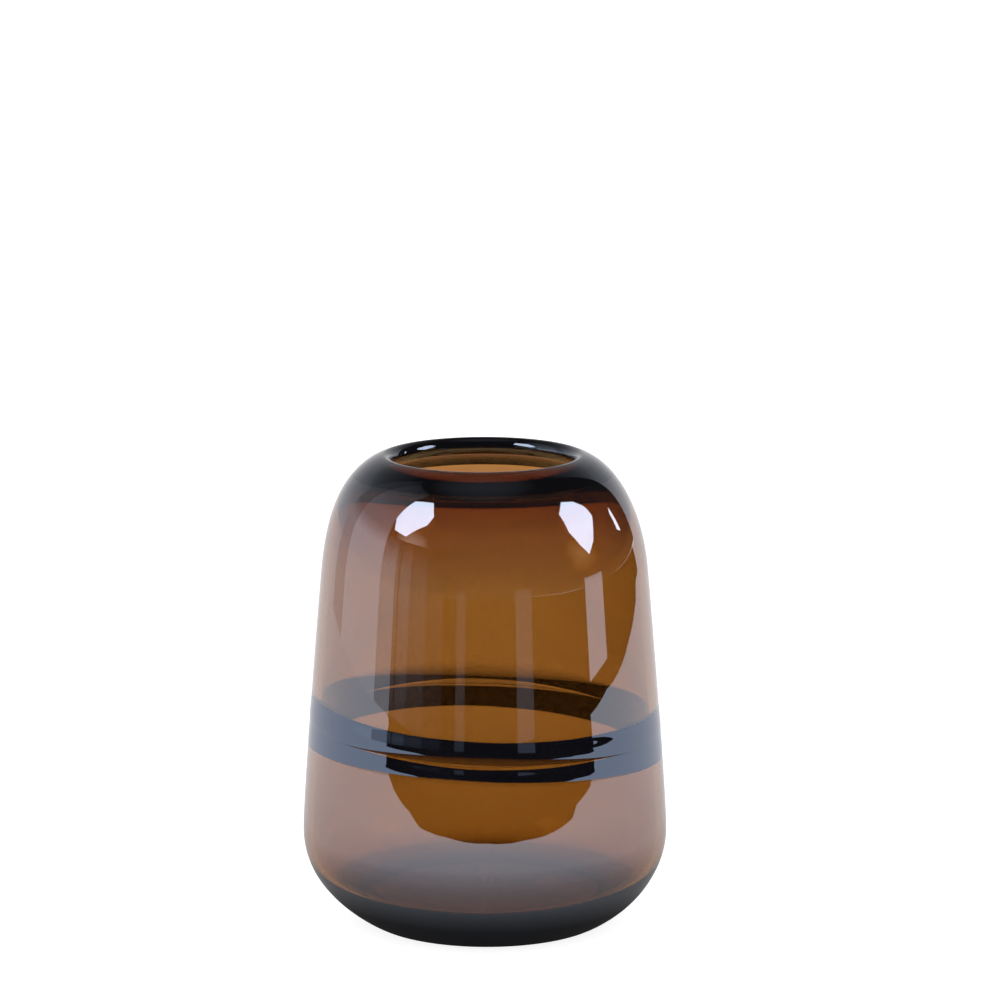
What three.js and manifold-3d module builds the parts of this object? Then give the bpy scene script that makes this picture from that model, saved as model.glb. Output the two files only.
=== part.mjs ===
// A hand-blown amber glass vase: a tall rounded body, a heavy base, a thick dark lip
// and two turns of dark glass trail pressed into the wall. Millimetres, +Z up.
// The origin is the middle of the flat foot.

import * as THREE from 'three';
import { mergeVertices } from 'three/addons/utils/BufferGeometryUtils.js';
import Module from 'manifold-3d';

// ---------------------------------------------------------------- driving dimensions

const height = 246; // foot to the crest of the lip
const bodyRadius = 95; // at the widest circle
const widestHeight = 48; // height of the widest circle
const footRadius = 61; // flat ground foot
const footFullness = 32; // how far the lower curve stays at full width below the widest circle
const waistFullness = 20; // the same above it

const shoulderRadius = 84.6; // where the side turns into the shoulder
const shoulderDrop = 57.5; // from the crest down to that circle
const sideLean = 0.11; // inward lean of the side there, per unit of height
const shoulderRise = 53; // how far the side runs on before it rolls over

const mouthRadius = 46.7; // clear opening
const lipRadius = 5; // round of the fire-polished lip
const lipShoulder = 1; // how far the crest runs flat before it falls away outside
const underLipRun = 12; // how far the underside of the lip runs out before it turns down
const underLipDrop = 2.5; // and how far it falls on the way
const innerShoulderRise = 38; // how far the side runs on inside, less because the lip is thick

const wall = 5; // blown wall
const baseThickness = 15; // solid glass under the floor
const floorRadius = 52; // flat part of the floor
const floorDrop = 24; // how far the inside stays at full width below the widest circle
const floorRun = 22; // how far the floor runs out before it turns up

const lipWrapDepth = 9.8; // dark glass on the outside of the lip, below the crest
const lipWrapInnerDepth = 10.6; // and on the inside

const trailDepth = 2.2; // how deep the trail is pressed into the wall
const trailGapFront = 6; // amber left between the two turns at the front
const trailGapBack = 4; // and at the back
const trailGapHalfAngle = THREE.MathUtils.degToRad(55); // where each gap runs out to a point

const clearance = 0.3; // between pieces that touch

// Edge heights around the body: a mean, and how much higher the front, the right side,
// and the front and back together are than that mean.
const trailTop = { mean: 114.4, front: 3.4, right: -3.5, both: -2.8 };
const trailSeam = { mean: 104.0, front: -0.2, right: -3.0, both: 0.4 };
const trailBottom = { mean: 92.1, front: 2.1, right: -3.5, both: 1.1 };

const around = 64; // facets round the body
const stepsFoot = 8;
const stepsSide = 5;
const stepsShoulder = 10;
const stepsLip = 6;
const stepsFloor = 6;

// ---------------------------------------------------------------- glass colours

const amberGlass = new THREE.MeshStandardMaterial({
  name: 'amber_glass', color: 0x7a4a1c, roughness: 0.04, metalness: 0 });
const darkGlass = new THREE.MeshStandardMaterial({
  name: 'dark_glass', color: 0x1c1a1f, roughness: 0.04, metalness: 0 });

// ---------------------------------------------------------------- outlines

const v = (r, z) => new THREE.Vector2(r, z);

function bezier(a, b, c, d, steps) {
  return new THREE.CubicBezierCurve(a, b, c, d).getPoints(steps);
}

// Points joined end to end, each shared end kept once.
function joined(...runs) {
  return runs.flatMap((run, i) => (i === 0 ? run : run.slice(1)));
}

const shoulderHeight = height - shoulderDrop;
const lean = v(-sideLean, 1).normalize();
const crestRadius = mouthRadius + lipRadius;

// Outside of the vase, from the foot to the crest of the lip.
function outerOutline() {
  const foot = v(footRadius, 0);
  const widest = v(bodyRadius, widestHeight);
  const shoulder = v(shoulderRadius, shoulderHeight);
  const crest = v(crestRadius, height);
  return joined(
    bezier(foot, v(footRadius + 1, 0), v(bodyRadius, widestHeight - footFullness), widest,
      stepsFoot),
    bezier(widest, v(bodyRadius, widestHeight + waistFullness),
      shoulder.clone().addScaledVector(lean, -shoulderRise / 8), shoulder, stepsSide),
    bezier(shoulder, shoulder.clone().addScaledVector(lean, shoulderRise),
      v(crestRadius + lipShoulder, height), crest, stepsShoulder),
  );
}

// The round of the lip, from its crest in over the mouth to its underside.
function lipOutline() {
  const arc = new THREE.EllipseCurve(crestRadius, height - lipRadius, lipRadius, lipRadius,
    Math.PI / 2, Math.PI * 3 / 2, false);
  return arc.getPoints(stepsLip);
}

// Inside of the vase, from the underside of the lip down to the middle of the floor.
function innerOutline() {
  const underLip = v(crestRadius, height - 2 * lipRadius);
  const shoulder = v(shoulderRadius - wall, shoulderHeight);
  const widest = v(bodyRadius - wall, widestHeight);
  const floor = v(floorRadius, baseThickness);
  return joined(
    bezier(underLip, v(crestRadius + underLipRun, underLip.y - underLipDrop),
      shoulder.clone().addScaledVector(lean, innerShoulderRise), shoulder, stepsShoulder),
    bezier(shoulder, shoulder.clone().addScaledVector(lean, -shoulderRise / 8),
      v(bodyRadius - wall, widestHeight + waistFullness), widest, stepsSide),
    bezier(widest, v(bodyRadius - wall, widestHeight - floorDrop),
      v(floorRadius + floorRun, baseThickness), floor, stepsFloor),
    [floor, v(0, baseThickness)],
  );
}

// Radius of an outline at a height, between its nearest two points.
function radiusAt(outline, z) {
  for (let i = 1; i < outline.length; i++) {
    const [a, b] = [outline[i - 1], outline[i]];
    if ((z - a.y) * (z - b.y) <= 0 && a.y !== b.y) {
      return a.x + (b.x - a.x) * (z - a.y) / (b.y - a.y);
    }
  }
  throw new Error(`no radius at height ${z}`);
}

// The part of an outline above a height, cut exactly at that height.
function above(outline, z) {
  const kept = outline.filter((p) => p.y > z + 1e-6);
  const cut = v(radiusAt(outline, z), z);
  return outline[0].y < z ? [cut, ...kept] : [...kept, cut];
}

function below(outline, z) {
  const kept = outline.filter((p) => p.y < z - 1e-6);
  const cut = v(radiusAt(outline, z), z);
  return outline[0].y < z ? [...kept, cut] : [cut, ...kept];
}

// ---------------------------------------------------------------- solids

function turned(outline) {
  const geometry = new THREE.LatheGeometry(outline, around);
  geometry.rotateX(Math.PI / 2);
  return geometry;
}

// Height of an edge at an angle, which is 0 at the front and a quarter turn at the right.
function edgeHeight(edge, angle) {
  return edge.mean + edge.front * Math.cos(angle) + edge.right * Math.sin(angle)
    + edge.both * Math.cos(2 * angle);
}

// A gap that is full width at its middle and runs out to a point at each end.
function pointedGap(width, angleFromMiddle) {
  const wrapped = Math.atan2(Math.sin(angleFromMiddle), Math.cos(angleFromMiddle));
  const share = Math.min(1, Math.abs(wrapped) / trailGapHalfAngle);
  return width * Math.cos(share * Math.PI / 2) ** 2;
}

function trailGap(angle) {
  return clearance + pointedGap(trailGapFront, angle) + pointedGap(trailGapBack, angle - Math.PI);
}

// A band that runs round the body between two edges, from outside its face to a depth.
function bandRing(outline, lowEdge, highEdge, proud, depth) {
  const rows = 3; // the face follows the body's taper in this many heights
  const positions = [];
  for (let i = 0; i < around; i++) {
    const angle = i / around * Math.PI * 2;
    const [low, high] = [lowEdge(angle), highEdge(angle)];
    const heights = Array.from({ length: rows }, (_, k) => low + (high - low) * k / (rows - 1));
    const section = [
      ...heights.map((z) => [radiusAt(outline, z) + proud, z]),
      ...heights.reverse().map((z) => [radiusAt(outline, z) - depth, z]),
    ];
    for (const [r, z] of section) {
      positions.push(r * Math.sin(angle), -r * Math.cos(angle), z);
    }
  }
  const size = rows * 2;
  const index = [];
  for (let i = 0; i < around; i++) {
    for (let k = 0; k < size; k++) {
      const a = i * size + k;
      const b = i * size + (k + 1) % size;
      const c = ((i + 1) % around) * size + k;
      const d = ((i + 1) % around) * size + (k + 1) % size;
      index.push(a, c, b, b, c, d);
    }
  }
  const geometry = new THREE.BufferGeometry();
  geometry.setAttribute('position', new THREE.Float32BufferAttribute(positions, 3));
  geometry.setIndex(index);
  return geometry;
}

const wasm = await Module();
wasm.setup();

function solidOf(geometry) {
  const bare = geometry.clone();
  bare.deleteAttribute('normal');
  bare.deleteAttribute('uv');
  const merged = mergeVertices(bare, 1e-4);
  const triVerts = [];
  for (let i = 0; i < merged.index.count; i += 3) {
    const [a, b, c] = [0, 1, 2].map((k) => merged.index.getX(i + k));
    if (a !== b && b !== c && c !== a) triVerts.push(a, b, c);
  }
  return new wasm.Manifold(new wasm.Mesh({
    numProp: 3,
    vertProperties: new Float32Array(merged.attributes.position.array),
    triVerts: new Uint32Array(triVerts),
  }));
}

function geometryOf(solid) {
  const { vertProperties, triVerts, numProp } = solid.getMesh();
  const geometry = new THREE.BufferGeometry();
  const points = [];
  for (let i = 0; i < vertProperties.length; i += numProp) {
    points.push(vertProperties[i], vertProperties[i + 1], vertProperties[i + 2]);
  }
  geometry.setAttribute('position', new THREE.Float32BufferAttribute(points, 3));
  geometry.setIndex(Array.from(triVerts));
  geometry.computeVertexNormals();
  return geometry;
}

// ---------------------------------------------------------------- pieces

const outer = outerOutline();
const inner = innerOutline();
const lipOuterHeight = height - lipWrapDepth;
const lipInnerHeight = height - lipWrapInnerDepth;

// The dark lip: the rolled rim and the start of the shoulder.
function lipWrap() {
  const outline = joined(above(outer, lipOuterHeight), lipOutline(), above(inner, lipInnerHeight));
  return turned([...outline, outline[0].clone()]);
}

const turns = {
  trail_upper_turn: {
    low: (angle) => edgeHeight(trailSeam, angle) + trailGap(angle) / 2,
    high: (angle) => edgeHeight(trailTop, angle),
  },
  trail_lower_turn: {
    low: (angle) => edgeHeight(trailBottom, angle),
    high: (angle) => edgeHeight(trailSeam, angle) - trailGap(angle) / 2,
  },
};

// The blown body with its heavy base, a cone-shaped seat for the lip and the trail's grooves.
function vaseBody() {
  const outline = [
    v(0, 0),
    ...below(outer, lipOuterHeight - clearance),
    ...below(inner, lipInnerHeight - clearance),
  ];
  let body = solidOf(turned(outline));
  for (const turn of Object.values(turns)) {
    const groove = bandRing(outer, (angle) => turn.low(angle) - clearance,
      (angle) => turn.high(angle) + clearance, clearance * 10, trailDepth + clearance);
    body = body.subtract(solidOf(groove));
  }
  return geometryOf(body);
}

const group = new THREE.Group();

function add(name, geometry, material) {
  const mesh = new THREE.Mesh(geometry, material);
  mesh.name = name;
  group.add(mesh);
}

add('vase_body', vaseBody(), amberGlass);
add('lip_wrap', lipWrap(), darkGlass);
for (const [name, turn] of Object.entries(turns)) {
  add(name, bandRing(outer, turn.low, turn.high, 0, trailDepth), darkGlass);
}

export default group;
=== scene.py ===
import math
import bpy
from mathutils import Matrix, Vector


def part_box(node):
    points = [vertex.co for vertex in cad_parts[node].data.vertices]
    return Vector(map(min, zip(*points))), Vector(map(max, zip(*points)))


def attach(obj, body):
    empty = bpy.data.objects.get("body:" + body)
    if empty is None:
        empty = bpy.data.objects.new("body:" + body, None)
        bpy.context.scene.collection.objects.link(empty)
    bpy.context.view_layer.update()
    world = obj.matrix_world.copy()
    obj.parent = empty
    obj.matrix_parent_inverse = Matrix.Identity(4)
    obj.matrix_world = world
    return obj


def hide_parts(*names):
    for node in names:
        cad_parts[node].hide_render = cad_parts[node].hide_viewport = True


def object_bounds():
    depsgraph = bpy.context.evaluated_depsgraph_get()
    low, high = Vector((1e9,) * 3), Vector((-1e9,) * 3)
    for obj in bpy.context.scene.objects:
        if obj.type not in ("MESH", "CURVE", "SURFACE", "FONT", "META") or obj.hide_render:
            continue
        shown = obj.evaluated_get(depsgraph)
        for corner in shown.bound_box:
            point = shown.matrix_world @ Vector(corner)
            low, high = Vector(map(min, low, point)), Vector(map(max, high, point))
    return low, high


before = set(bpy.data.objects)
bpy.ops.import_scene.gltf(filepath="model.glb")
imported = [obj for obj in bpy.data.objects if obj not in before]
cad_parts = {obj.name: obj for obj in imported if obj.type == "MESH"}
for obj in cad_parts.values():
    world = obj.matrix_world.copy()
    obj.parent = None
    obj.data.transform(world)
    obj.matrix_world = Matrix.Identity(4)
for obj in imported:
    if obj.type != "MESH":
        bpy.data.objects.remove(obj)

cadLow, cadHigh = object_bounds()   # the CAD box
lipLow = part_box("lip_wrap")[0]
vaseHeight = cadHigh.z
bodyRadius = cadHigh.x
mm = 0.001
nearly = 1e-6   # lengths closer than this are the same

print("stage 1: outlines of the glass")

# The same turned outline as the CAD body, in metres, but with fine steps.
shape = {
    "footRadius": 61 * mm,
    "footRun": 1 * mm,   # how far the foot runs flat before it turns up
    "footFullness": 32 * mm,
    "widestHeight": 48 * mm,
    "waistFullness": 20 * mm,
    "shoulderRadius": 84.6 * mm,
    "shoulderDrop": 57.5 * mm,
    "sideLean": 0.11,
    "shoulderRise": 53 * mm,
    "mouthRadius": 46.7 * mm,
    "lipRadius": 5 * mm,
    "lipShoulder": 1 * mm,
    "underLipRun": 12 * mm,
    "underLipDrop": 2.5 * mm,
    "innerShoulderRise": 38 * mm,
    "wall": 5 * mm,
    "baseThickness": 15 * mm,
    "floorRadius": 52 * mm,
    "floorDrop": 24 * mm,
    "floorRun": 22 * mm,
    "segments": 256,
    "stepsCurve": 44,
}


def bezierPoints(a, b, c, d, steps):
    points = []
    for i in range(steps + 1):
        t = i / steps
        s = 1 - t
        points.append(a * s ** 3 + b * 3 * s * s * t + c * 3 * s * t * t + d * t ** 3)
    return points


def joinRuns(*runs):
    points = list(runs[0])
    for run in runs[1:]:
        points += run[1:]
    return points


shoulderHeight = vaseHeight - shape["shoulderDrop"]
leanWay = Vector((-shape["sideLean"], 1)).normalized()
leanBelow = shape["shoulderRise"] / 8   # how far down the side keeps the shoulder's lean
crestRadius = shape["mouthRadius"] + shape["lipRadius"]


def outerOutline():
    steps = shape["stepsCurve"]
    foot = Vector((shape["footRadius"], 0))
    widest = Vector((bodyRadius, shape["widestHeight"]))
    shoulder = Vector((shape["shoulderRadius"], shoulderHeight))
    crest = Vector((crestRadius, vaseHeight))
    return joinRuns(
        bezierPoints(foot, foot + Vector((shape["footRun"], 0)),
                     widest - Vector((0, shape["footFullness"])), widest, steps),
        bezierPoints(widest, widest + Vector((0, shape["waistFullness"])),
                     shoulder - leanWay * leanBelow, shoulder, steps),
        bezierPoints(shoulder, shoulder + leanWay * shape["shoulderRise"],
                     crest + Vector((shape["lipShoulder"], 0)), crest, steps),
    )


def lipOutline():
    steps = shape["stepsCurve"]
    middle = Vector((crestRadius, vaseHeight - shape["lipRadius"]))
    points = []
    for i in range(steps + 1):
        turn = math.pi / 2 + math.pi * i / steps
        points.append(middle + Vector((math.cos(turn), math.sin(turn))) * shape["lipRadius"])
    return points


def innerOutline():
    steps = shape["stepsCurve"]
    wall = shape["wall"]
    underLip = Vector((crestRadius, vaseHeight - 2 * shape["lipRadius"]))
    shoulder = Vector((shape["shoulderRadius"] - wall, shoulderHeight))
    widest = Vector((bodyRadius - wall, shape["widestHeight"]))
    floor = Vector((shape["floorRadius"], shape["baseThickness"]))
    return joinRuns(
        bezierPoints(underLip, underLip + Vector((shape["underLipRun"], -shape["underLipDrop"])),
                     shoulder + leanWay * shape["innerShoulderRise"], shoulder, steps),
        bezierPoints(shoulder, shoulder - leanWay * leanBelow,
                     widest + Vector((0, shape["waistFullness"])), widest, steps),
        bezierPoints(widest, widest - Vector((0, shape["floorDrop"])),
                     floor + Vector((shape["floorRun"], 0)), floor, steps),
    )


def radiusAt(outline, z):
    for a, b in zip(outline, outline[1:]):
        if (z - a.y) * (z - b.y) <= 0 and a.y != b.y:
            return a.x + (b.x - a.x) * (z - a.y) / (b.y - a.y)
    return outline[-1].x


def cutAbove(outline, z):
    kept = [p for p in outline if p.y > z + nearly]
    cut = Vector((radiusAt(outline, z), z))
    return [cut] + kept if outline[0].y < z else kept + [cut]


def cutBelow(outline, z):
    kept = [p for p in outline if p.y < z - nearly]
    cut = Vector((radiusAt(outline, z), z))
    return kept + [cut] if outline[0].y < z else [cut] + kept


# Nobody blows a true circle: the wall is drawn in by a hair here and there, the foot sits a
# little to one side and the rim dips. Every piece goes through this, so they stay together.
handWork = {
    "drawIn": 0.28 * mm, "drawInFrom": (0.01, 0.04),   # none on the axis, all of it from 40 mm out
    "oval": (0.35, 0.6, 2.2),   # share, where it starts, and how far it turns on the way up
    "threeSided": (0.15, -1.9, 5.0),
    "footDrift": 1.1 * mm, "footEnds": 0.03,
    "shoulderDrift": 0.9 * mm, "shoulderFrom": (0.19, 0.238),
    "rimDip": 0.35 * mm, "dipFrom": 0.215, "dipTurn": 0.7,
}


def smoothStep(low, high, value):
    t = min(1.0, max(0.0, (value - low) / (high - low)))
    return t * t * (3 - 2 * t)


def handBlown(x, y, z):
    turn = math.atan2(x, -y)
    up = z / vaseHeight
    wave = 0.5
    for sides, (share, start, twist) in ((2, handWork["oval"]), (3, handWork["threeSided"])):
        wave += share * math.cos(sides * turn + start + twist * up)
    radius = math.hypot(x, y)
    if radius > nearly:
        kept = 1 - handWork["drawIn"] * wave * smoothStep(*handWork["drawInFrom"], radius) / radius
        x, y = x * kept, y * kept
    x += handWork["footDrift"] * (1 - smoothStep(0, handWork["footEnds"], z))
    x -= handWork["shoulderDrift"] * smoothStep(*handWork["shoulderFrom"], z)
    dip = 0.5 - 0.5 * math.cos(turn - handWork["dipTurn"])
    z -= handWork["rimDip"] * dip * smoothStep(handWork["dipFrom"], vaseHeight, z)
    return Vector((x, y, z))


outer = outerOutline()
inner = innerOutline()


def turnedPiece(name, outline, outsideFlags, closedLoop):
    # the outline runs up the outside and down the inside; a point on the axis is one vertex
    segments = shape["segments"]
    vertices, flags, rows = [], [], []
    for point, flag in zip(outline, outsideFlags):
        if point.x < nearly:
            rows.append([len(vertices)] * segments)
            vertices.append(handBlown(0, 0, point.y))
            flags.append(flag)
            continue
        row = []
        for i in range(segments):
            turn = 2 * math.pi * i / segments
            row.append(len(vertices))
            vertices.append(handBlown(point.x * math.sin(turn), -point.x * math.cos(turn), point.y))
            flags.append(flag)
        rows.append(row)
    pairs = list(zip(rows, rows[1:]))
    if closedLoop:
        pairs.append((rows[-1], rows[0]))
    faces = []
    for low, high in pairs:
        for i in range(segments):
            j = (i + 1) % segments
            face = [low[i], low[j], high[j], high[i]]
            face = [v for k, v in enumerate(face) if v != face[k - 1]]
            if len(face) > 2:
                faces.append(face)
    return meshObject(name, vertices, faces, flags)


cornerAngle = math.radians(35)   # a sharper edge than this keeps its corner in the shading


def meshObject(name, vertices, faces, flags=None, layerName="outsideFace"):
    mesh = bpy.data.meshes.new(name)
    mesh.from_pydata([tuple(v) for v in vertices], [], faces)
    mesh.validate()
    for polygon in mesh.polygons:
        polygon.use_smooth = True
    mesh.set_sharp_from_angle(angle=cornerAngle)
    if flags is not None:
        layer = mesh.attributes.new(layerName, "FLOAT", "POINT")
        layer.data.foreach_set("value", flags)
    mesh.update()
    piece = bpy.data.objects.new(name, mesh)
    bpy.context.scene.collection.objects.link(piece)
    return piece


print("stage 2: shader groups")

mixA, mixB, mixOut = 6, 7, 2   # where a colour Mix node takes its two colours and gives its own


def newGroup(name, inputs, outputs):
    group = bpy.data.node_groups.new(name, "ShaderNodeTree")
    for label, kind, value in inputs:
        socket = group.interface.new_socket(label, in_out="INPUT", socket_type=kind)
        socket.default_value = value
    for label, kind in outputs:
        group.interface.new_socket(label, in_out="OUTPUT", socket_type=kind)
    start = group.nodes.new("NodeGroupInput")
    end = group.nodes.new("NodeGroupOutput")
    return group, start, end


def addNode(tree, kind, values=None, **settings):
    node = tree.nodes.new(kind)
    for key, value in settings.items():
        setattr(node, key, value)
    for label, value in (values or {}).items():
        node.inputs[label].default_value = value
    return node


def mathNode(tree, operation, a, b=None, clamp=False):
    node = addNode(tree, "ShaderNodeMath", operation=operation, use_clamp=clamp)
    for socket, value in zip(node.inputs, (a, b)):
        if value is None:
            continue
        if isinstance(value, (int, float)):
            socket.default_value = value
        else:
            tree.links.new(value, socket)
    return node.outputs[0]


def rampNode(tree, stops):
    node = addNode(tree, "ShaderNodeValToRGB")
    for i, (at, colour) in enumerate(stops):
        # a new ramp already has its first two stops
        element = node.color_ramp.elements[i] if i < 2 else node.color_ramp.elements.new(at)
        element.position = at
        element.color = (*colour, 1)
    return node


# Slow waves in the skin of blown glass, with draw lines that run up the wall.
def makeBlownRipple():
    group, start, end = newGroup("blownRipple", [
        ("Wave Size", "NodeSocketFloat", 18.0),
        ("Wave Height", "NodeSocketFloat", 1.0),
        ("Line Height", "NodeSocketFloat", 0.3),
    ], [("Height", "NodeSocketFloat")])
    where = addNode(group, "ShaderNodeTexCoord").outputs["Object"]
    waves = addNode(group, "ShaderNodeTexNoise", {"Detail": 1.5})
    group.links.new(where, waves.inputs["Vector"])
    group.links.new(start.outputs["Wave Size"], waves.inputs["Scale"])
    stretch = addNode(group, "ShaderNodeMapping", {"Scale": (1, 1, 0.06)})   # long lines, drawn up the wall
    group.links.new(where, stretch.inputs["Vector"])
    lines = addNode(group, "ShaderNodeTexNoise", {"Scale": 120, "Detail": 2})
    group.links.new(stretch.outputs[0], lines.inputs["Vector"])
    wavesHigh = mathNode(group, "MULTIPLY", waves.outputs["Fac"], start.outputs["Wave Height"])
    linesHigh = mathNode(group, "MULTIPLY", lines.outputs["Fac"], start.outputs["Line Height"])
    group.links.new(mathNode(group, "ADD", wavesHigh, linesHigh), end.inputs["Height"])
    return group


# Faint dust and wiping marks: a little roughness here and there on a polished face.
def makeHandled():
    group, start, end = newGroup("handled", [
        ("Polish", "NodeSocketFloat", 0.01),
        ("Smear", "NodeSocketFloat", 0.05),
    ], [("Roughness", "NodeSocketFloat")])
    where = addNode(group, "ShaderNodeTexCoord").outputs["Object"]
    smears = addNode(group, "ShaderNodeTexNoise", {"Scale": 22, "Detail": 5, "Distortion": 0.8})
    group.links.new(where, smears.inputs["Vector"])
    patchy = addNode(group, "ShaderNodeMapRange", {"From Min": 0.52, "From Max": 0.75})   # only the strongest
    group.links.new(smears.outputs["Fac"], patchy.inputs["Value"])
    amount = mathNode(group, "MULTIPLY", patchy.outputs["Result"], start.outputs["Smear"])
    group.links.new(mathNode(group, "ADD", amount, start.outputs["Polish"]), end.inputs["Roughness"])
    return group


# Slow change of a glass colour through the piece, as in a pot of glass that isn't stirred.
def makeGlassTint():
    group, start, end = newGroup("glassTint", [
        ("Light Colour", "NodeSocketColor", (1, 1, 1, 1)),
        ("Deep Colour", "NodeSocketColor", (1, 1, 1, 1)),
        ("Streak Size", "NodeSocketFloat", 9.0),
    ], [("Colour", "NodeSocketColor")])
    where = addNode(group, "ShaderNodeTexCoord").outputs["Object"]
    streaks = addNode(group, "ShaderNodeTexNoise", {"Detail": 3})
    group.links.new(where, streaks.inputs["Vector"])
    group.links.new(start.outputs["Streak Size"], streaks.inputs["Scale"])
    blend = addNode(group, "ShaderNodeMix", data_type="RGBA")
    group.links.new(streaks.outputs["Fac"], blend.inputs["Factor"])
    group.links.new(start.outputs["Light Colour"], blend.inputs[mixA])
    group.links.new(start.outputs["Deep Colour"], blend.inputs[mixB])
    group.links.new(blend.outputs[mixOut], end.inputs["Colour"])
    return group


# A colour that changes up the vase: dark in the solid base, with painted shade for the shadowed floor seen
# through it, and darker and redder under the lip.
def makeUprightTintAndShade(name, stops):
    group, start, end = newGroup(name, [], [("Colour", "NodeSocketColor")])
    parts = addNode(group, "ShaderNodeSeparateXYZ")
    group.links.new(addNode(group, "ShaderNodeTexCoord").outputs["Object"], parts.inputs[0])
    ramp = rampNode(group, [(z / vaseHeight, colour) for z, colour in stops])
    group.links.new(mathNode(group, "DIVIDE", parts.outputs["Z"], vaseHeight), ramp.inputs["Fac"])
    group.links.new(ramp.outputs["Color"], end.inputs["Colour"])
    return group


blownRipple = makeBlownRipple()
handled = makeHandled()
glassTint = makeGlassTint()
skinDepth = 0.1 * mm   # height of the ripple at full strength


def placeGroup(tree, group, **values):
    node = addNode(tree, "ShaderNodeGroup", node_tree=group)
    for label, value in values.items():
        node.inputs[label.replace("_", " ")].default_value = value
    return node


def glassMaterial(name, settings):
    material = bpy.data.materials.new(name)
    material.use_nodes = True
    tree = material.node_tree
    shader = tree.nodes["Principled BSDF"]
    output = tree.nodes["Material Output"]
    shader.inputs["IOR"].default_value = settings["index"]
    shader.inputs["Transmission Weight"].default_value = settings["clear"]
    shader.inputs["Metallic"].default_value = 0
    tint = placeGroup(tree, glassTint, Light_Colour=(*settings["lightColour"], 1),
                      Deep_Colour=(*settings["deepColour"], 1), Streak_Size=settings["streakSize"])
    colour = tint.outputs["Colour"]
    # the colour by height holds painted shade in the solid base
    if "upright" in settings:
        upright = placeGroup(tree, makeUprightTintAndShade(name + "Upright", settings["upright"]))
        deepen = addNode(tree, "ShaderNodeMix", {"Factor": 1}, data_type="RGBA", blend_type="MULTIPLY")
        tree.links.new(colour, deepen.inputs[mixA])
        tree.links.new(upright.outputs["Colour"], deepen.inputs[mixB])
        colour = deepen.outputs[mixOut]
    tree.links.new(colour, shader.inputs["Base Color"])
    marks = placeGroup(tree, handled, Polish=settings["polish"], Smear=settings["smear"])
    tree.links.new(marks.outputs["Roughness"], shader.inputs["Roughness"])
    ripple = placeGroup(tree, blownRipple, Wave_Size=settings["waveSize"],
                        Wave_Height=settings["waveHeight"], Line_Height=settings["lineHeight"])
    bump = addNode(tree, "ShaderNodeBump", {"Strength": 1, "Distance": skinDepth})
    tree.links.new(ripple.outputs["Height"], bump.inputs["Height"])
    tree.links.new(bump.outputs["Normal"], shader.inputs["Normal"])
    # the metal lustre is fumed on the outside only
    outside = addNode(tree, "ShaderNodeAttribute", attribute_name="outsideFace")
    film = mathNode(tree, "MULTIPLY", outside.outputs["Fac"], settings["filmNanometres"])
    tree.links.new(film, shader.inputs["Thin Film Thickness"])
    shader.inputs["Thin Film IOR"].default_value = settings["filmIndex"]
    shader.inputs["Specular Tint"].default_value = (*settings["filmTint"], 1)
    if settings["density"]:
        absorb = addNode(tree, "ShaderNodeVolumeAbsorption", {
            "Color": (*settings["volumeColour"], 1), "Density": settings["density"]})
        tree.links.new(absorb.outputs[0], output.inputs["Volume"])
    return material


print("stage 3: amber body")

# "upright" gives the colour by height: dark in the solid base, with painted shade for the shadowed floor seen
# through it, and redder under the lip.
amber = {
    "index": 1.5, "clear": 1.0,
    "lightColour": (0.75, 0.6, 0.41), "deepColour": (0.71, 0.54, 0.35), "streakSize": 7.0,
    "polish": 0.0, "smear": 0.03,
    "waveSize": 14.0, "waveHeight": 0.6, "lineHeight": 0.05,
    "volumeColour": (0.66, 0.48, 0.10), "density": 250.0,
    "filmNanometres": 50.0, "filmIndex": 2.0, "filmTint": (1.0, 0.94, 1.0),
    "upright": [(0, (0.3, 0.26, 0.24)), (15 * mm, (0.32, 0.28, 0.25)), (17.5 * mm, (0.8, 0.74, 0.63)),
                (23 * mm, (1, 0.92, 0.75)), (60 * mm, (0.9, 0.86, 0.72)), (100 * mm, (1, 1, 1)),
                (190 * mm, (1, 1, 1)), (206 * mm, (0.82, 0.72, 0.76)),
                (222 * mm, (0.68, 0.49, 0.46)), (236 * mm, (0.88, 0.68, 0.4))],
}
amberGlass = glassMaterial("amberGlass", amber)

# The lip sits on a cone; its edges lie this far below the crest.
seat = {"outside": 9.8 * mm, "inside": vaseHeight - lipLow.z, "gap": 0.06 * mm}

outsideWall = cutBelow(outer, vaseHeight - seat["outside"] - seat["gap"])
insideWall = cutBelow(inner, vaseHeight - seat["inside"] - seat["gap"])
bodyOutline = [Vector((0, 0))] + outsideWall + insideWall + [Vector((0, shape["baseThickness"]))]
bodyFlags = [0.0] + [1.0] * len(outsideWall) + [0.0] * (len(insideWall) + 1)
vaseBody = turnedPiece("vaseBody", bodyOutline, bodyFlags, False)
vaseBody.data.materials.append(amberGlass)

print("stage 4: dark lip")

darkLip = {
    "index": 1.5, "clear": 1.0,
    "lightColour": (0.95, 0.80, 0.70), "deepColour": (0.88, 0.68, 0.58), "streakSize": 14.0,
    "polish": 0.0, "smear": 0.03,
    "waveSize": 20.0, "waveHeight": 0.4, "lineHeight": 0.0,
    "volumeColour": (0.5, 0.26, 0.12), "density": 300.0,
    "filmNanometres": 34.0, "filmIndex": 2.0, "filmTint": (1.0, 0.96, 1.0),
}
lipGlass = glassMaterial("darkLipGlass", darkLip)
lipOutside = cutAbove(outer, vaseHeight - seat["outside"])
lipInside = cutAbove(inner, vaseHeight - seat["inside"])
lipRound = lipOutline()[1:-1]
lipWrap = turnedPiece("lipWrap", lipOutside + lipRound + lipInside,
                      [1.0] * (len(lipOutside) + len(lipRound)) + [0.0] * len(lipInside), True)
lipWrap.data.materials.append(lipGlass)

print("stage 5: dark trails")

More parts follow.
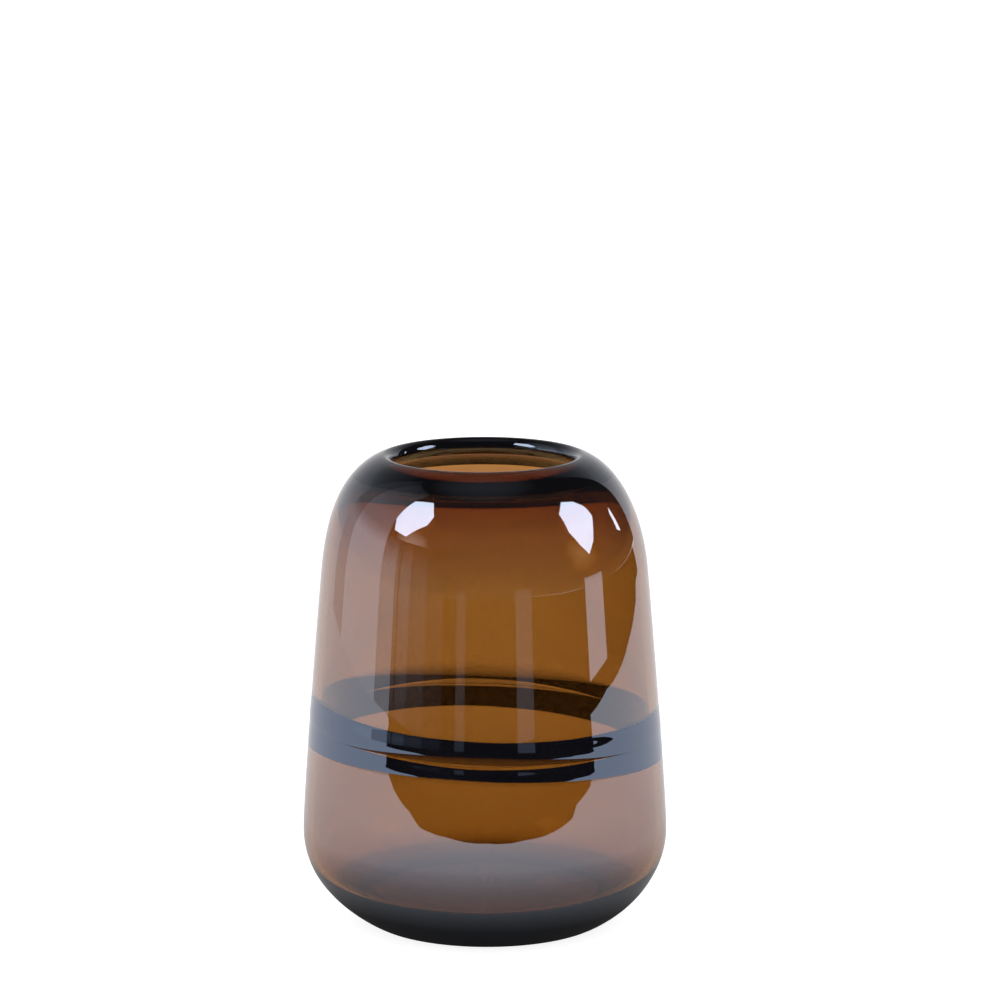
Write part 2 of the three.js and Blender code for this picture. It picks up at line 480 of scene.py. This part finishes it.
# Edge heights round the body, as laid: the mean, and how much higher the front, the right side,
# and front and back together are than that.
trail = {
    "top": (114.4 * mm, 3.4 * mm, -3.5 * mm, -2.8 * mm),
    "seam": (104.0 * mm, -0.2 * mm, -3.0 * mm, 0.4 * mm),
    "bottom": (92.1 * mm, 2.1 * mm, -3.5 * mm, 1.1 * mm),
    "gapFront": 6.2 * mm, "gapBack": 4.2 * mm, "gapHalfAngle": math.radians(58),
    "overlap": 0.15 * mm,   # of the two turns at the sides, where they have run together
    "slopeFront": 0.045, "slopeSide": 0.09, "slopeTurn": math.radians(36),
    "depth": 2.0 * mm, "edgeProud": 0.02 * mm,
    "unevenness": 0.25 * mm, "waves": ((0.5, 3, 1.0), (0.3, 7, 2.3), (0.2, 13, 4.1)),   # share, count, shift
    "segments": 384, "stepsFace": 14,
}


def edgeHeight(edge, turn):
    mean, front, right, both = trail[edge]
    return mean + front * math.cos(turn) + right * math.sin(turn) + both * math.cos(2 * turn)


def pointedGap(width, turn):
    away = abs(math.atan2(math.sin(turn), math.cos(turn)))
    return width * math.cos(min(1, away / trail["gapHalfAngle"]) * math.pi / 2) ** 2


def unevenEdge(turn, seed):
    wave = sum(share * math.sin(count * turn + shift * seed) for share, count, shift in trail["waves"])
    return trail["unevenness"] * wave


def trailEdges(turn):
    gap = pointedGap(trail["gapFront"], turn) + pointedGap(trail["gapBack"], turn - math.pi)
    gap -= trail["overlap"]
    seam = edgeHeight("seam", turn)
    return {
        "top": edgeHeight("top", turn) + unevenEdge(turn, 1),
        "upperLow": seam + gap / 2 + unevenEdge(turn, 2) * gap / trail["gapFront"],
        "seam": seam,
        "lowerHigh": seam - gap / 2 + unevenEdge(turn, 3) * gap / trail["gapFront"],
        "bottom": edgeHeight("bottom", turn) + unevenEdge(turn, 4),
    }


def bandMesh(name, lowHigh, proudAt, depthAt, layerName, flagAt):
    # a closed band round the body: a face that follows the wall, and a back inside the glass
    segments, steps = trail["segments"], trail["stepsFace"]
    vertices, faces, flags = [], [], []
    size = 2 * (steps + 1)
    for i in range(segments):
        turn = 2 * math.pi * i / segments
        low, high = lowHigh(turn)
        section = []
        for k in range(steps + 1):
            t = k / steps
            z = low + (high - low) * t
            section.append((radiusAt(outer, z) + proudAt(t, turn, high - low), z, flagAt(t, True)))
        for k in range(steps + 1):
            t = 1 - k / steps
            z = low + (high - low) * t
            section.append((radiusAt(outer, z) - depthAt(t), z, flagAt(t, False)))
        for r, z, flag in section:
            vertices.append(handBlown(r * math.sin(turn), -r * math.cos(turn), z))
            flags.append(flag)
    for i in range(segments):
        j = (i + 1) % segments
        for k in range(size):
            m = (k + 1) % size
            faces.append([i * size + k, j * size + k, j * size + m, i * size + m])
    return meshObject(name, vertices, faces, flags, layerName)


def roundness(t):
    return 1 - (2 * t - 1) ** 2


def facing(turn, middle, halfAngle):
    away = abs(math.atan2(math.sin(turn - middle), math.cos(turn - middle)))
    return math.cos(min(1, away / halfAngle) * math.pi / 2) ** 2


def trailFace(sideSlope):
    # the face leans in at its lower edge, more so towards the sides
    def proud(t, turn, tall):
        sideways = 1 - facing(turn, 0, trail["slopeTurn"])
        slope = trail["slopeFront"] + (sideSlope - trail["slopeFront"]) * sideways
        return trail["edgeProud"] + slope * max(0, tall) * t * (1 - t) ** 2
    return proud


def trailPiece(name, lowEdge, highEdge, sideSlope):
    return bandMesh(
        name,
        lambda turn: (trailEdges(turn)[lowEdge], trailEdges(turn)[highEdge]),
        trailFace(sideSlope),
        lambda t: trail["edgeProud"] + trail["depth"] * roundness(t) ** 0.5,
        "outsideFace", lambda t, outside: 1.0 if outside else 0.0)


darkTrail = {
    "index": 1.5, "clear": 0.0,
    "lightColour": (0.006, 0.006, 0.009), "deepColour": (0.003, 0.003, 0.004), "streakSize": 30.0,
    "polish": 0.0, "smear": 0.04,
    "waveSize": 20.0, "waveHeight": 0.5, "lineHeight": 0.0,
    "volumeColour": (1, 1, 1), "density": 0.0,
    "filmNanometres": 24.0, "filmIndex": 2.5, "filmTint": (0.88, 0.86, 1.0),
}
trailGlass = glassMaterial("darkTrailGlass", darkTrail)
upperTurn = trailPiece("trailUpperTurn", "upperLow", "top", trail["slopeSide"])
lowerTurn = trailPiece("trailLowerTurn", "bottom", "lowerHigh", trail["slopeFront"])
for turnPiece in (upperTurn, lowerTurn):
    turnPiece.data.materials.append(trailGlass)

# Brown see-through bands fade out from the trail's edges: below the upper turn at the front, where the trail
# was drawn thin, above the upper turn and in its gap at the back, and under the lower turn; and loose threads
# lie along the seam.
smoke = {
    "colour": (0.016, 0.006, 0.003), "roughness": 0.3, "depth": 0.4 * mm, "proud": 0.03 * mm,
    "frontFall": 4.2 * mm, "backRise": 9.0 * mm, "underFall": 3.2 * mm, "least": 0.02 * mm,
    "backHalfAngle": math.radians(75), "underHalfAngle": math.radians(70),
    "frontStrength": 0.95, "backStrength": 0.8, "gapStrength": 0.3, "underStrength": 0.3,
    "frontFade": 0.3, "backFade": 1.5, "underFade": 1.5,   # how quickly each one thins out
}
threads = {
    "width": 0.34 * mm, "swayCount": 5, "swayShift": 900,
    "laid": {
        "threadFront": {"middle": 0.2, "halfAngle": math.radians(48), "rise": -0.5 * mm,
                        "sway": 0.25 * mm, "strength": 0.8},
        "threadFrontLow": {"middle": -0.1, "halfAngle": math.radians(36), "rise": -1.9 * mm,
                           "sway": 0.2 * mm, "strength": 0.5},
        "threadBack": {"middle": math.pi, "halfAngle": math.radians(46), "rise": -0.9 * mm,
                       "sway": 0.15 * mm, "strength": 0.9},
    },
}


def smokeMaterial(name, strength):
    material = bpy.data.materials.new(name)
    material.use_nodes = True
    tree = material.node_tree
    shader = tree.nodes["Principled BSDF"]
    shader.inputs["Base Color"].default_value = (*smoke["colour"], 1)
    shader.inputs["Roughness"].default_value = smoke["roughness"]
    shader.inputs["Specular IOR Level"].default_value = 0
    fade = addNode(tree, "ShaderNodeAttribute", attribute_name="fade")
    tree.links.new(mathNode(tree, "MULTIPLY", fade.outputs["Fac"], strength), shader.inputs["Alpha"])
    return material


def smokePiece(name, lowHigh, fadeAt, strength):
    piece = bandMesh(name, lowHigh, lambda t, turn, tall: smoke["proud"] * roundness(t),
                     lambda t: smoke["depth"], "fade", lambda t, outside: fadeAt(t) if outside else 0.0)
    piece.data.materials.append(smokeMaterial(name, strength))
    return piece


def frontSmokeEdges(turn):
    high = trailEdges(turn)["upperLow"]
    return high - smoke["least"] - smoke["frontFall"] * facing(turn, 0, trail["gapHalfAngle"]), high


def backSmokeEdges(turn):
    low = trailEdges(turn)["top"]
    return low, low + smoke["least"] + smoke["backRise"] * facing(turn, math.pi, smoke["backHalfAngle"])


def backGapEdges(turn):
    edges = trailEdges(turn)
    low = edges["lowerHigh"]
    gap = max(0, edges["upperLow"] - low)
    return low, low + smoke["least"] + gap * facing(turn, math.pi, trail["gapHalfAngle"])


def underSmokeEdges(turn):
    high = trailEdges(turn)["bottom"]
    return high - smoke["least"] - smoke["underFall"] * facing(turn, 0, smoke["underHalfAngle"]), high


def threadEdges(thread):
    def edges(turn):
        near = facing(turn, thread["middle"], thread["halfAngle"])
        wander = math.sin(threads["swayCount"] * turn + thread["rise"] * threads["swayShift"])
        z = trailEdges(turn)["seam"] + thread["rise"] * near + thread["sway"] * wander * near
        return z, z + smoke["least"] + threads["width"] * near
    return edges


smokes = [
    smokePiece("smokeFront", frontSmokeEdges, lambda t: t ** smoke["frontFade"], smoke["frontStrength"]),
    smokePiece("smokeBack", backSmokeEdges, lambda t: (1 - t) ** smoke["backFade"], smoke["backStrength"]),
    smokePiece("smokeBackGap", backGapEdges, lambda t: 1.0, smoke["gapStrength"]),
    smokePiece("smokeUnder", underSmokeEdges, lambda t: t ** smoke["underFade"], smoke["underStrength"]),
]
for name, thread in threads["laid"].items():
    smokes.append(smokePiece(name, threadEdges(thread), lambda t: 1.0, thread["strength"]))
for piece in smokes:
    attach(piece, "root")

print("stage 6: riding and replacing")

for piece, node, slot in (
    (vaseBody, "vase_body", "amber_glass"),
    (lipWrap, "lip_wrap", "dark_lip_glass"),
    (upperTurn, "trail_upper_turn", "dark_trail_glass"),
    (lowerTurn, "trail_lower_turn", "dark_trail_glass"),
):
    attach(piece, "root")
    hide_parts(node)

print("stage 7: floor, surroundings and light")

studio = {
    "floorSize": 14.0, "floorColour": 0.45, "floorGlow": 0.85, "paperRoughness": 0.9,
    "sky": 1.1, "roomLow": 0.03, "roomHigh": 0.12, "ceilingFrom": 0.9,
    "lampPower": 4.7, "lampDistance": 2.2, "glowDistance": 2.7, "lampMiddle": 0.209,
}


def plainMaterial(name, colour, glow):
    material = bpy.data.materials.new(name)
    material.use_nodes = True
    shader = material.node_tree.nodes["Principled BSDF"]
    shader.inputs["Base Color"].default_value = (*colour, 1)
    shader.inputs["Roughness"].default_value = studio["paperRoughness"]
    shader.inputs["Specular IOR Level"].default_value = 0
    shader.inputs["Emission Color"].default_value = (1, 1, 1, 1)
    shader.inputs["Emission Strength"].default_value = glow
    return material


# Light that changes along the card: upwards, or outwards from the middle of the floor.
def gradedMaterial(name, outwards, reach, stops, strength):
    material = plainMaterial(name, (0, 0, 0), strength)
    tree = material.node_tree
    where = addNode(tree, "ShaderNodeTexCoord").outputs["Object"]
    parts = addNode(tree, "ShaderNodeSeparateXYZ")
    tree.links.new(where, parts.inputs[0])
    along = parts.outputs["Z"]
    if outwards:
        squared = [mathNode(tree, "POWER", parts.outputs[axis], 2.0) for axis in ("X", "Y")]
        along = mathNode(tree, "SQRT", mathNode(tree, "ADD", *squared))
    ramp = rampNode(tree, [(at / reach, (level, level, level)) for at, level in stops])
    tree.links.new(mathNode(tree, "DIVIDE", along, reach), ramp.inputs["Fac"])
    tree.links.new(ramp.outputs["Color"], tree.nodes["Principled BSDF"].inputs["Emission Color"])
    return material


def flatSquare(name, half, z):
    corners = [(-half, -half, z), (half, -half, z), (half, half, z), (-half, half, z)]
    return meshObject(name, corners, [[0, 1, 2, 3]])


floor = flatSquare("studioFloor", studio["floorSize"], 0)
floor.data.materials.append(plainMaterial("paleFloor", [studio["floorColour"]] * 3, studio["floorGlow"]))


def mirrorOnly(card, through):
    # seen in reflections and, where asked, through the glass; never by the camera
    card.visible_camera = False
    card.visible_diffuse = False
    card.visible_shadow = False
    card.visible_volume_scatter = False
    card.visible_transmission = through


# The white sheet that the vase stands on, as its polish mirrors it: shaded close to the foot.
# It ends a little way in front of the vase; past its torn edge is the unlit room.
sheet = {
    "half": 6.0, "lift": 0.3 * mm, "light": 0.97, "shadeReach": 0.5, "roomLift": 0.6 * mm,
    "shade": [(0.0, 0.02), (0.062, 0.025), (0.075, 0.05), (0.085, 0.13), (0.1, 0.28), (0.13, 0.42),
              (0.17, 0.6), (0.28, 0.86), (0.5, 1.0)],
    "edge": [(-4.0, 1.3), (-4.0, 0.45), (-3.2, 0.0), (-2.0, -0.3), (-1.2, -0.50), (-0.92, -0.66),
             (-0.80, -0.40), (-0.64, -0.42), (-0.47, -0.47), (-0.36, -0.46), (-0.2, -0.51), (0, -0.52),
             (0.2, -0.48), (0.33, -0.42), (0.46, -0.36), (0.54, -0.37), (0.66, -0.29), (0.8, -0.28),
             (1.1, -0.45), (1.22, -0.1), (1.15, 0.45), (1.05, 0.76), (1.26, 1.2)],
}
paper = flatSquare("sheet", sheet["half"], sheet["lift"])
paper.data.materials.append(
    gradedMaterial("sheetPaper", True, sheet["shadeReach"], sheet["shade"], sheet["light"]))
mirrorOnly(paper, False)


def roomFloor():
    # from the sheet's edge straight out to the end of the floor
    near = [Vector((x, y, 0)) for x, y in sheet["edge"]]
    far = [way.normalized() * studio["floorSize"] for way in near]
    vertices = [(point.x, point.y, sheet["roomLift"]) for point in near + far]
    count = len(near)
    faces = [[i, i + 1, count + i + 1, count + i] for i in range(count - 1)]
    card = meshObject("roomFloor", vertices, faces)
    card.data.materials.append(plainMaterial("unlitRoom", (0, 0, 0), 0))
    mirrorOnly(card, False)


roomFloor()


def direction(azimuth, elevation):
    # azimuth 0 is towards the front, 90 to the right
    a, e = math.radians(azimuth), math.radians(elevation)
    return Vector((math.sin(a) * math.cos(e), -math.cos(a) * math.cos(e), math.sin(e)))


backdropLight = [(0, 0.95), (0.21, 0.92), (0.55, 0.75), (0.77, 0.66), (1.13, 0.52), (1.5, 0.4),
                 (1.84, 0.32), (2.1, 0.22), (2.62, 0.14), (3.1, 0.1), (4.8, 0.04)]
wallLight = [(0, 1.0), (0.47, 0.95), (0.57, 0.65), (0.67, 0.42), (0.8, 0.4), (1.05, 0.32), (1.26, 0.25),
             (1.55, 0.2), (2.4, 0.08)]
shelfLight = [(0, 0.9), (0.12, 1.0), (0.32, 0.9), (0.45, 0.5), (0.62, 0.08)]
dimShelfLight = [(0, 0.3)] + shelfLight[1:]
stripLight = [(0, 1.0), (0.2, 1.0), (0.25, 0.8)]

# The sheet rises behind the vase as a backdrop, and the lit wall on the left stands nearer.
# Each card runs from one azimuth round to another, so far away, and lit by height.
walls = {
    "backdrop": {"turns": (-126, -222), "away": 3.2, "light": backdropLight, "strength": 1.0},
    "wallCorner": {"turns": (-126, -112), "away": 1.25, "light": wallLight, "strength": 0.68},
    "wallLeft": {"turns": (-112, -76), "away": 1.25, "light": wallLight, "strength": 1.05},
    "wallFront0": {"turns": (-76, -64), "away": 1.27, "light": shelfLight, "strength": 0.65},
    "wallFront1": {"turns": (-64, -52), "away": 1.27, "light": dimShelfLight, "strength": 0.3},
    "wallFront2": {"turns": (-52, -40), "away": 1.27, "light": dimShelfLight, "strength": 0.15},
    "wallFront3": {"turns": (-40, -28), "away": 1.27, "light": dimShelfLight, "strength": 0.06},
    "cable": {"turns": (-61, -60.3), "away": 1.2, "light": [(0, 0.01), (0.55, 0.01)], "strength": 1.0},
    "windowRight": {"turns": (72, 88), "away": 1.45, "light": stripLight, "strength": 0.95},
    "windowMiddle": {"turns": (20, 31), "away": 1.3, "light": stripLight, "strength": 0.16},
    "windowFront": {"turns": (-19, -13), "away": 1.3, "light": stripLight, "strength": 0.1},
}
wallStep = 5   # degrees to each flat of a curved card


def uprightCard(name, wall):
    start, end = wall["turns"]
    steps = max(2, round(abs(end - start) / wallStep))
    top = wall["light"][-1][0]
    vertices, faces = [], []
    for i in range(steps + 1):
        foot = direction(start + (end - start) * i / steps, 0) * wall["away"]
        vertices += [foot, foot + Vector((0, 0, top))]
    for i in range(steps):
        faces.append([2 * i, 2 * i + 1, 2 * i + 3, 2 * i + 2])
    card = meshObject(name, vertices, faces)
    card.data.materials.append(gradedMaterial(name, False, top, wall["light"], wall["strength"]))
    mirrorOnly(card, False)


for name, wall in walls.items():
    uprightCard(name, wall)


def fanMaterial(name, strength, tint, mottle):
    material = plainMaterial(name, (0, 0, 0), strength)
    tree = material.node_tree
    fade = addNode(tree, "ShaderNodeAttribute", attribute_name="fade")
    cloud = addNode(tree, "ShaderNodeTexNoise", {"Scale": 3.5})
    tree.links.new(addNode(tree, "ShaderNodeTexCoord").outputs["Object"], cloud.inputs["Vector"])
    uneven = mathNode(tree, "ADD", mathNode(tree, "MULTIPLY", cloud.outputs["Fac"], mottle), 1 - mottle / 2)
    level = mathNode(tree, "MULTIPLY", uneven, fade.outputs["Fac"])
    blend = addNode(tree, "ShaderNodeMix", data_type="RGBA")
    blend.inputs[mixA].default_value = (0, 0, 0, 1)
    blend.inputs[mixB].default_value = (*tint, 1)
    tree.links.new(level, blend.inputs["Factor"])
    tree.links.new(blend.outputs[mixOut], tree.nodes["Principled BSDF"].inputs["Emission Color"])
    return material


# Each fan is an outline of azimuths and heights in degrees, lit from its middle out.
lampLook = {"away": studio["lampDistance"], "strength": studio["lampPower"], "tint": (0.93, 0.94, 1.0),
            "mottle": 0.3, "softEdge": False, "through": True}
# the lamps again, dimmer and warm, where they come back off the inside of the thick shoulder
glowLook = {"away": studio["glowDistance"], "mottle": 0.1, "softEdge": True, "through": False}
fans = {
    "lampLeft": {**lampLook, "outline": [
        (-78, 48), (-58, 54), (-46, 41), (-48, 33), (-62, 21), (-73, 22), (-79, 33)]},
    "lampRight": {**lampLook, "outline": [
        (84, 44), (94, 39), (99, 31), (99, 24), (88, 14), (81, 10), (75, 16), (70, 24), (71, 37)]},
    "lampSliver": {**lampLook, "away": 3.0, "through": False, "outline": [
        (121, 18), (121, 13), (122, 7), (118, 9), (118, 16)]},
    "glowLeft": {**glowLook, "strength": 1.3, "tint": (1.0, 0.72, 0.55), "outline": [
        (-74, 14), (-70, 24), (-56, 28), (-44, 25), (-38, 16), (-44, 6), (-58, 3), (-70, 5)]},
    "glowRight": {**glowLook, "strength": 0.75, "tint": (1.0, 0.5, 0.18), "outline": [
        (58, 16), (66, 22), (80, 18), (90, 13), (90, 6), (78, 3), (64, 5)]},
}


def lightFan(name, fan):
    centre = Vector((0, 0, studio["lampMiddle"]))
    rim = [centre + direction(a, e) * fan["away"] for a, e in fan["outline"]]
    middle = sum(rim, Vector()) / len(rim)
    count = len(rim)
    faces = [[i, (i + 1) % count, count] for i in range(count)]
    rimLight = 0.0 if fan["softEdge"] else 1.0
    card = meshObject(name, rim + [middle], faces, [rimLight] * count + [1.0], "fade")
    card.data.materials.append(fanMaterial(name, fan["strength"], fan["tint"], fan["mottle"]))
    mirrorOnly(card, fan["through"])


for name, fan in fans.items():
    lightFan(name, fan)

world = bpy.data.worlds.new("softSky")
bpy.context.scene.world = world
world.use_nodes = True
sky = world.node_tree
white = sky.nodes["Background"]
white.inputs["Color"].default_value = (1, 1, 1, 1)
white.inputs["Strength"].default_value = studio["sky"]
# mirrored, the room is dark and its ceiling a little lighter
room = addNode(sky, "ShaderNodeBackground", {"Strength": 1})
upwards = addNode(sky, "ShaderNodeSeparateXYZ")
sky.links.new(addNode(sky, "ShaderNodeTexCoord").outputs["Generated"], upwards.inputs[0])
climb = addNode(sky, "ShaderNodeMapRange", {"From Min": studio["ceilingFrom"], "From Max": 1.0,
                                            "To Min": studio["roomLow"], "To Max": studio["roomHigh"]})
sky.links.new(upwards.outputs["Z"], climb.inputs["Value"])
sky.links.new(climb.outputs["Result"], room.inputs["Color"])
path = addNode(sky, "ShaderNodeLightPath")
pick = addNode(sky, "ShaderNodeMixShader")
sky.links.new(path.outputs["Is Glossy Ray"], pick.inputs[0])
sky.links.new(white.outputs[0], pick.inputs[1])
sky.links.new(room.outputs[0], pick.inputs[2])
sky.links.new(pick.outputs[0], sky.nodes["World Output"].inputs["Surface"])

print("stage 8: camera")

# A long lens a little above the vase, turned so that the vase stands low in the frame.
view = {
    "distance": 2.448, "height": 13.2,   # metres from the middle of the vase, degrees above it
    "lens": 169.2, "filmWidth": 36, "raise": 2.27, "turn": -0.19,
}
centre = Vector((0, 0, vaseHeight / 2))
cameraData = bpy.data.cameras.new("camera")
cameraData.lens = view["lens"]
cameraData.sensor_width = view["filmWidth"]
camera = bpy.data.objects.new("camera", cameraData)
bpy.context.scene.collection.objects.link(camera)
camera.location = centre + direction(0, view["height"]) * view["distance"]
camera.rotation_euler = (math.radians(90 - view["height"] + view["raise"]), 0, math.radians(view["turn"]))
bpy.context.scene.camera = camera
bpy.context.scene.view_settings.view_transform = "Standard"

print("stage 9: done")
